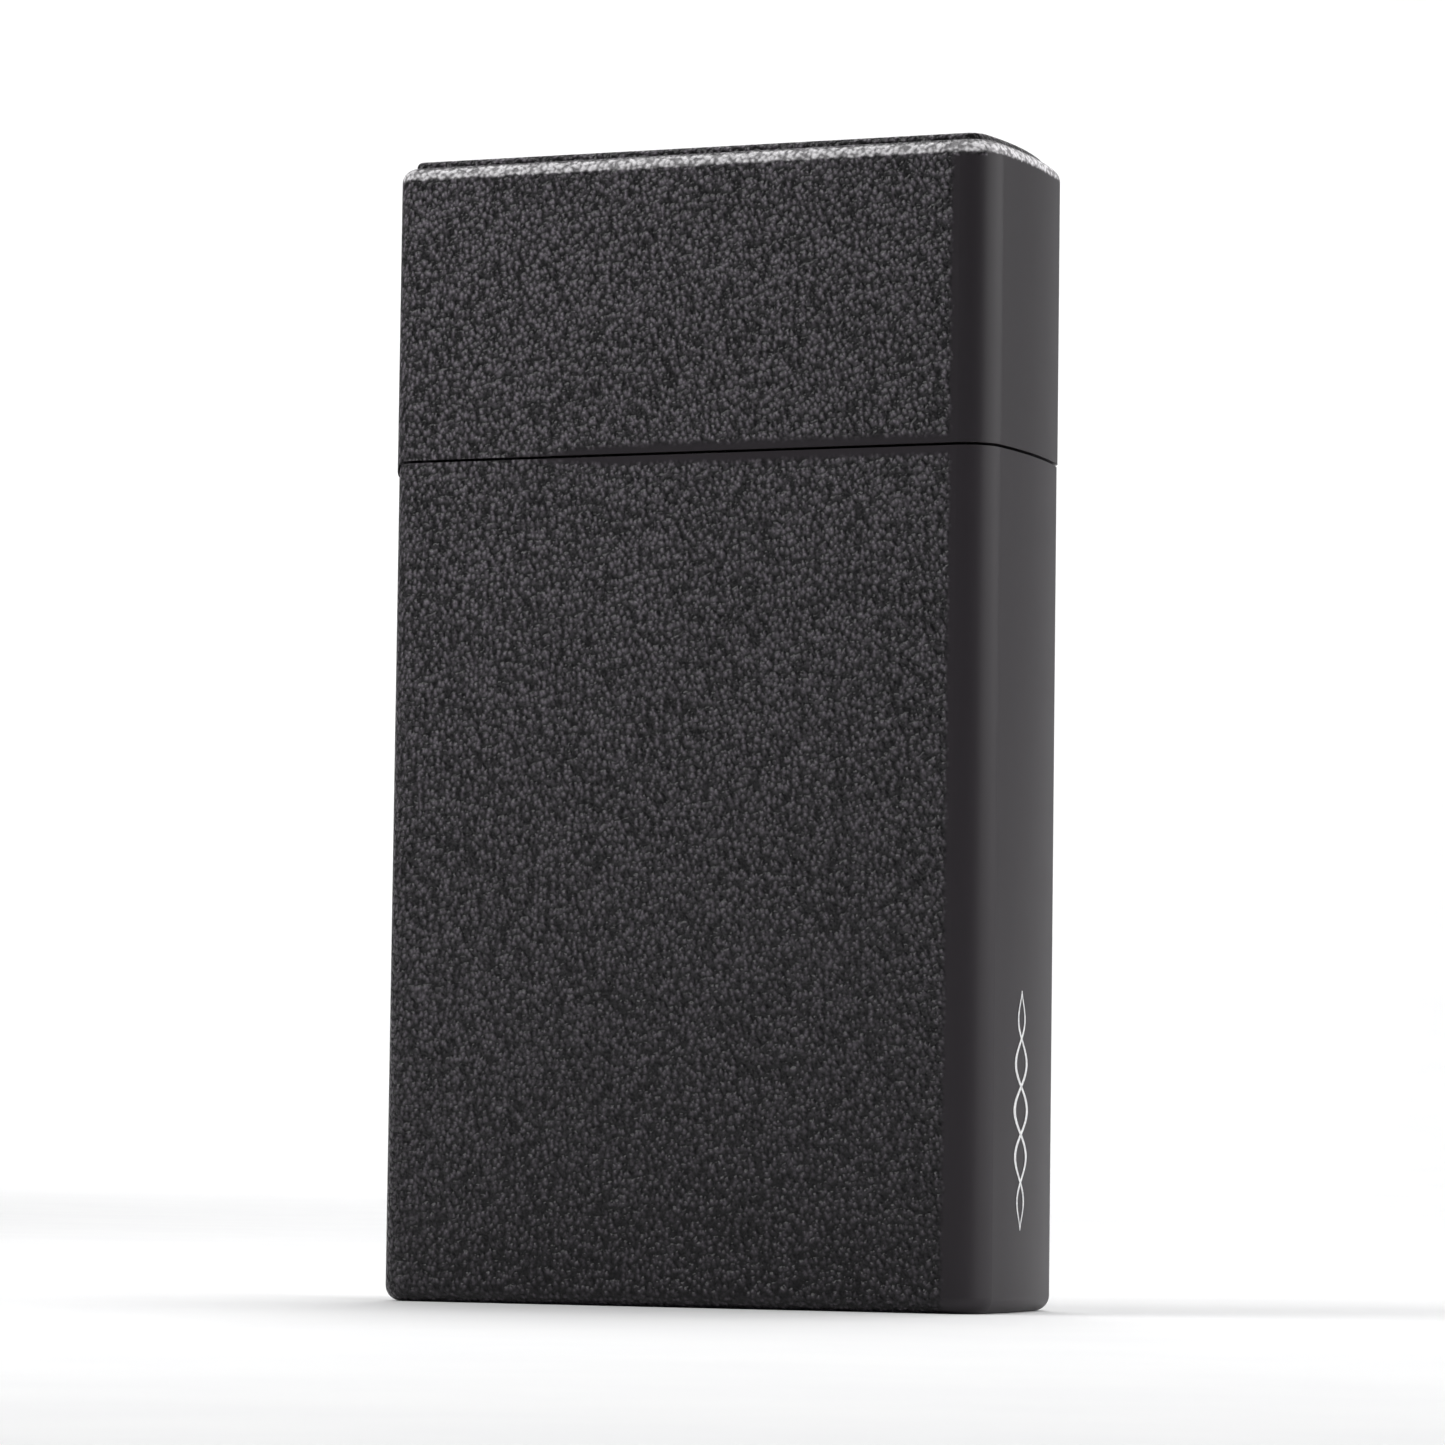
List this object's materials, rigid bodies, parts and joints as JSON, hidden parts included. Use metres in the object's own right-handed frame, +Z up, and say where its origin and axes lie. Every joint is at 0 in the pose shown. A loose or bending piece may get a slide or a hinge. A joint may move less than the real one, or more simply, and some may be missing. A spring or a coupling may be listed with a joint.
{
  "type": "flip-top windproof lighter",
  "caption": "Slim flip-top windproof gas lighter with a hinged metal lid, an ignition button and a shielded burner.",
  "frame": {"origin": "middle of the flat base, on the surface it stands on", "axes": "+Z up along the height, the broad faces look along Y, and the lid's hinge is on the -X side"},
  "size_m": [0.0379, 0.0132, 0.066],
  "materials": {
    "coated_case": "matt black pebble-grained coat",
    "hinge_steel": "satin",
    "spring_wire": "drawn wire",
    "tank_plastic": "moulded",
    "frame_plastic": "moulded",
    "deck_steel": "brushed",
    "screw_steel": "plated",
    "burner_steel": "polished",
    "brass": "turned",
    "ceramic": "fired",
    "catalyst_wire": "drawn wire",
    "seal_rubber": "moulded",
    "filter_felt": "felt",
    "button_metal": "satin black",
    "lever_steel": "stamped",
    "piezo_plastic": "moulded",
    "lead_sleeve": "extruded sleeve"
  },
  "bodies": {
    "case": {"case_shell": "coated_case", "case_hinge_leaf": "hinge_steel", "hinge_pin": "hinge_steel", "snap_spring": "hinge_steel", "fuel_tank": "tank_plastic", "tank_cap": "tank_plastic", "insert_frame": "frame_plastic", "deck_plate": "deck_steel", "base_screws": "screw_steel", "deck_screws": "screw_steel", "burner_base": "brass", "burner_shroud": "burner_steel", "flame_holder": "ceramic", "catalyst_coil": "catalyst_wire", "burner_bracket": "deck_steel", "gas_tube": "seal_rubber", "valve_body": "brass", "valve_gland": "brass", "valve_spring": "spring_wire", "lever_pin": "hinge_steel", "piezo_housing": "piezo_plastic", "piezo_hammer": "brass", "piezo_crystal": "ceramic", "piezo_spring": "spring_wire", "electrode_insulator": "ceramic", "spark_electrode": "catalyst_wire", "ignition_lead": "lead_sleeve", "setter_seal": "seal_rubber", "regulator_body": "brass", "gas_filter": "filter_felt", "riser_tube": "brass", "fill_valve_body": "brass", "fill_valve_seal": "seal_rubber", "fill_valve_spring": "spring_wire", "fill_valve_retainer": "brass"},
    "lid": {"lid_shell": "coated_case", "lid_hinge_leaf": "hinge_steel"},
    "button": {"ignition_button": "button_metal"},
    "plunger": {"piezo_plunger": "piezo_plastic"},
    "lever": {"valve_lever": "lever_steel"},
    "stem": {"valve_stem": "brass", "valve_seal": "seal_rubber"},
    "setter": {"flame_setter": "brass"},
    "filler": {"fill_valve_stem": "brass"}
  },
  "joints": [
    {"name": "lid_hinge", "type": "hinge", "parent": "case", "child": "lid", "pos_m": [-0.01852, 0, 0.04735], "axis": [0, -1, 0], "range_deg": [0, 115], "deforming": ["snap_spring"]},
    {"name": "button_press", "type": "slide", "parent": "case", "child": "button", "axis": [0, 0, -1], "range_m": [0, 0.0022], "stiffness_N_per_m": 1500, "springref_m": -0.0004},
    {"name": "plunger_slide", "type": "slide", "parent": "case", "child": "plunger", "axis": [0, 0, -1], "range_m": [0, 0.0022], "deforming": ["piezo_spring"]},
    {"name": "lever_tilt", "type": "hinge", "parent": "case", "child": "lever", "pos_m": [-0.0026, 0, 0.03815], "axis": [0, 1, 0], "range_deg": [0, 18.1]},
    {"name": "stem_lift", "type": "slide", "parent": "case", "child": "stem", "axis": [0, 0, 1], "range_m": [0, 0.0011], "deforming": ["valve_spring", "gas_tube"]},
    {"name": "flame_setting", "type": "hinge", "parent": "case", "child": "setter", "pos_m": [-0.006, 0, 0], "axis": [0, 0, 1], "range_deg": [-135, 135]},
    {"name": "fill_lift", "type": "slide", "parent": "case", "child": "filler", "axis": [0, 0, 1], "range_m": [0, 0.001], "stiffness_N_per_m": 800, "springref_m": -0.0004, "deforming": ["fill_valve_spring"]}
  ],
  "couplings": [
    {"joint": "plunger_slide", "follows": "button_press", "ratio": 1},
    {"joint": "lever_tilt", "follows": "button_press", "rad_per_m": 142.86},
    {"joint": "stem_lift", "follows": "button_press", "ratio": 0.4857}
  ]
}
